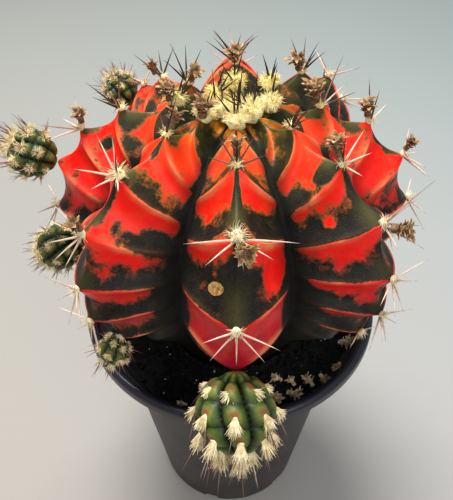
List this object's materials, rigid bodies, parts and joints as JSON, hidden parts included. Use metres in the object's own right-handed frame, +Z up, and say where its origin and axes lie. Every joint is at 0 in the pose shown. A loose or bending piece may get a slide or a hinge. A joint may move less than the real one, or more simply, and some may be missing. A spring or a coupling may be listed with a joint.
{
  "type": "potted round cactus",
  "caption": "Ribbed red and dark green round cactus with spines, dried flowers and young offsets, standing in soil in a round lipped plastic nursery pot.",
  "frame": {"origin": "centre of the pot's flat base", "axes": "+Z up along the pot's axis, -Y the front, where the rib with the hanging offset faces"},
  "size_m": [0.1173, 0.1259, 0.1778],
  "materials": {
    "pot_plastic": "dark blue-black, fine matt wall, smoother lip",
    "soil": "coarse, black, damp potting mix",
    "cactus_skin": "waxy living skin, red with blackish-green patches",
    "young_skin": "waxy living skin, green",
    "areole_wool": "cream plant wool",
    "spines": "hard dry spines, black at the crown and ivory lower down",
    "dried_flower": "brown, papery, withered"
  },
  "bodies": {
    "root": {"cactus_body": "cactus_skin", "crown_wool": "areole_wool", "dried_flower_back_1": "dried_flower", "dried_flower_back_left_1": "dried_flower", "dried_flower_back_left_2": "dried_flower", "dried_flower_back_right_1": "dried_flower", "dried_flower_front_1": "dried_flower", "dried_flower_front_2": "dried_flower", "dried_flower_front_left_0": "dried_flower", "dried_flower_front_left_1": "dried_flower", "dried_flower_front_left_3": "dried_flower", "dried_flower_front_right_2": "dried_flower", "dried_flower_front_right_3": "dried_flower", "dried_flower_left_0": "dried_flower", "dried_flower_left_2": "dried_flower", "dried_flower_right_1": "dried_flower", "dried_flower_right_2": "dried_flower", "dried_flower_right_3": "dried_flower", "offset_back_left": "young_skin", "offset_front": "young_skin", "offset_low_left": "young_skin", "offset_lower_left": "young_skin", "offset_upper_left": "young_skin", "pot": "pot_plastic", "soil": "soil", "spines_back_1": "spines", "spines_back_2": "spines", "spines_back_3": "spines", "spines_back_4": "spines", "spines_back_left_1": "spines", "spines_back_left_2": "spines", "spines_back_left_3": "spines", "spines_back_right_1": "spines", "spines_back_right_2": "spines", "spines_back_right_3": "spines", "spines_back_right_4": "spines", "spines_front_1": "spines", "spines_front_2": "spines", "spines_front_3": "spines", "spines_front_left_1": "spines", "spines_front_left_2": "spines", "spines_front_left_3": "spines", "spines_front_left_4": "spines", "spines_front_left_5": "spines", "spines_front_right_1": "spines", "spines_front_right_2": "spines", "spines_front_right_3": "spines", "spines_front_right_4": "spines", "spines_front_right_5": "spines", "spines_left_1": "spines", "spines_left_2": "spines", "spines_left_4": "spines", "spines_right_1": "spines", "spines_right_2": "spines", "spines_right_3": "spines", "spines_right_4": "spines"}
  },
  "joints": []
}
